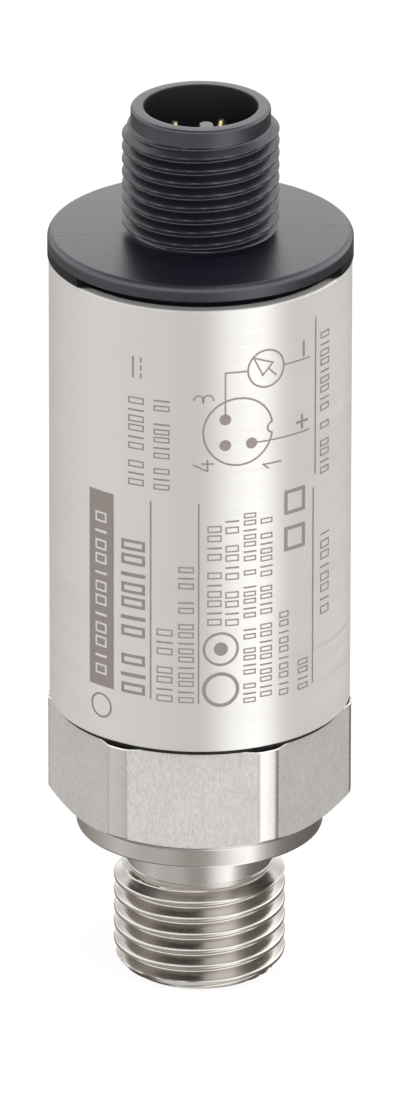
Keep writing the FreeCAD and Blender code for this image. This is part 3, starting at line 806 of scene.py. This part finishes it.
def white_floor():
    """A white floor that keeps the shadow; the camera sees most of it as plain white."""
    z = cad_box[0][2]
    corners = [(x * FLOOR_HALF, y * FLOOR_HALF, z) for x, y in ((-1, -1), (1, -1), (1, 1), (-1, 1))]
    mesh = bpy.data.meshes.new("floor")
    mesh.from_pydata(corners, [], [(0, 1, 2, 3)])
    finish, n = material("floor_white")
    n.set(Base_Color=FLOOR_WHITE, Roughness=0.9)
    glow = n.add("ShaderNodeEmission", {"Color": WHITE, "Strength": 1.0}).outputs[0]
    seen = n.math("MULTIPLY", n.add("ShaderNodeLightPath").outputs["Is Camera Ray"], FLOOR_GLOW)
    both = n.add("ShaderNodeMixShader", {0: seen, 1: n.bsdf.outputs[0], 2: glow}).outputs[0]
    n.plug(both, n.tree.nodes["Material Output"].inputs["Surface"])
    mesh.materials.append(finish)
    floor = bpy.data.objects.new("floor", mesh)
    scene.collection.objects.link(floor)
    floor.visible_glossy = False


# Brightness of the studio that the object mirrors, by degrees to the right of the camera.
# The three bands lie above each other: a dark floor, a grey table and the walls of the tent.
FLOOR_BAND = (
    (-180, 0.12), (-140, 0.12), (-105, 0.16), (-75, 0.18), (-52, 0.12), (-10, 0.08), (4, 0.12), (10, 1.1),
    (30, 1.9), (58, 2.0), (66, 1.0), (76, 0.3), (95, 0.06), (140, 0.08), (180, 0.12))
TABLE_BAND = (
    (-180, 0.28), (-140, 0.32), (-105, 0.55), (-80, 0.78), (-57, 0.64), (-31, 0.66), (-12, 0.46), (0, 0.45),
    (10, 0.52), (22, 1.0), (34, 1.4), (50, 1.7), (58, 0.95), (66, 0.65), (82, 0.3), (95, 0.24),
    (140, 0.17), (180, 0.28))
WALL_BAND = (
    (-180, 1.7), (-168, 1.6), (-155, 0.8), (-140, 1.5), (-85, 1.65), (-60, 1.8), (-6, 1.8), (12, 1.6),
    (28, 2.0), (60, 2.0), (68, 1.7), (85, 2.0), (140, 2.0), (155, 0.8), (168, 1.6), (180, 1.7))
# overhead it goes by how far right a direction points, from -1 to 1
CEILING = (
    (-0.45, 0.35), (-0.30, 0.33), (-0.18, 0.14), (0.05, 0.12), (0.08, 0.95), (0.33, 0.95), (0.37, 0.15),
    (0.6, 0.2))
NADIR = 0.9                        # brightness straight below
# heights, from -1 to 1, over which one band gives way to the next
TO_NADIR = (-0.89, -0.81)
TO_FLOOR = (-0.62, -0.50)
TO_WALL = (-0.16, 0.04)
TO_CEILING = (0.66, 0.86)
STUDIO_STRENGTH = 2.0


def warm(value):
    """A grey of the studio, browner where darker, divided by the studio's strength to fit a colour ramp."""
    pale = min(1.0, value)
    grey = value / STUDIO_STRENGTH
    return (grey, grey * (0.88 + 0.12 * pale), grey * (0.82 + 0.18 * pale))


def studio_world():
    """White for the camera; the object mirrors a tent with a soft box at the right and a dim ceiling."""
    world = scene.world or bpy.data.worlds.new("world")
    scene.world = world
    world.use_nodes = True
    world.node_tree.nodes.clear()
    n = Nodes(world)
    ray = n.add("ShaderNodeTexCoord").outputs["Generated"]
    turned = n.add("ShaderNodeMapping", {"Vector": ray, "Rotation": (0, 0, -CAMERA_AZIMUTH)}).outputs[0]
    right, back, height = n.add("ShaderNodeSeparateXYZ", {0: turned}).outputs
    around = n.math("ARCTAN2", right, n.math("MULTIPLY", back, -1.0))
    place = n.math("ADD", n.math("DIVIDE", around, 2 * math.pi), 0.5)
    floor, table, walls = [n.ramp(place, [((a + 180) / 360, warm(v)) for a, v in band])
                           for band in (FLOOR_BAND, TABLE_BAND, WALL_BAND)]
    overhead = n.ramp(n.math("MULTIPLY", n.math("ADD", right, 1.0), 0.5),
                      [((x + 1) / 2, warm(v)) for x, v in CEILING])
    colour = n.mix(n.spread(height, 0, 1, *TO_WALL, "SMOOTHSTEP"), table, walls)
    colour = n.mix(n.spread(height, 0, 1, *TO_CEILING, "SMOOTHSTEP"), colour, overhead)
    colour = n.mix(n.spread(height, 1, 0, *TO_FLOOR, "SMOOTHSTEP"), colour, floor)
    colour = n.mix(n.spread(height, 1, 0, *TO_NADIR, "SMOOTHSTEP"), colour, warm(NADIR))
    studio = n.add("ShaderNodeBackground", {"Color": colour, "Strength": STUDIO_STRENGTH}).outputs[0]
    white = n.add("ShaderNodeBackground", {"Color": WHITE, "Strength": 1.0}).outputs[0]
    camera_ray = n.add("ShaderNodeLightPath").outputs["Is Camera Ray"]
    both = n.add("ShaderNodeMixShader", {0: camera_ray, 1: studio, 2: white}).outputs[0]
    n.add("ShaderNodeOutputWorld", {"Surface": both})


def towards(azimuth, elevation):
    """Direction at an azimuth to the right of the front and an elevation, both in radians."""
    flat = math.cos(elevation)
    return Vector((math.sin(azimuth) * flat, -math.cos(azimuth) * flat, math.sin(elevation)))


def lamp(name, azimuth, elevation, size, power):
    """A soft box a metre away that lights and shades, but isn't mirrored; its angles are in degrees."""
    data = bpy.data.lights.new(name, "AREA")
    data.shape = "SQUARE"
    data.size = size
    data.energy = power
    made = bpy.data.objects.new(name, data)
    scene.collection.objects.link(made)
    away = towards(math.radians(azimuth), math.radians(elevation))
    made.location = MIDDLE + away
    made.rotation_euler = away.to_track_quat("Z", "Y").to_euler()
    made.visible_glossy = False


def camera():
    """A long lens from above the front, rolled a little."""
    elevation = math.radians(23.31)
    roll = math.radians(0.098)
    distance = 1.2
    data = bpy.data.cameras.new("camera")
    data.lens = 507.5
    data.sensor_width = 36
    data.clip_end = 20
    made = bpy.data.objects.new("camera", data)
    scene.collection.objects.link(made)
    away = towards(CAMERA_AZIMUTH, elevation)
    look = away.to_track_quat("Z", "Y").to_matrix().to_4x4()
    made.matrix_world = Matrix.Translation(MIDDLE + away * distance) @ look @ Matrix.Rotation(roll, 4, "Z")
    scene.camera = made


white_floor()
studio_world()
lamp("key_box", azimuth=38, elevation=35, size=0.5, power=3.0)
lamp("top_box", azimuth=0, elevation=80, size=0.9, power=4.0)
camera()
scene.view_settings.view_transform = "Standard"
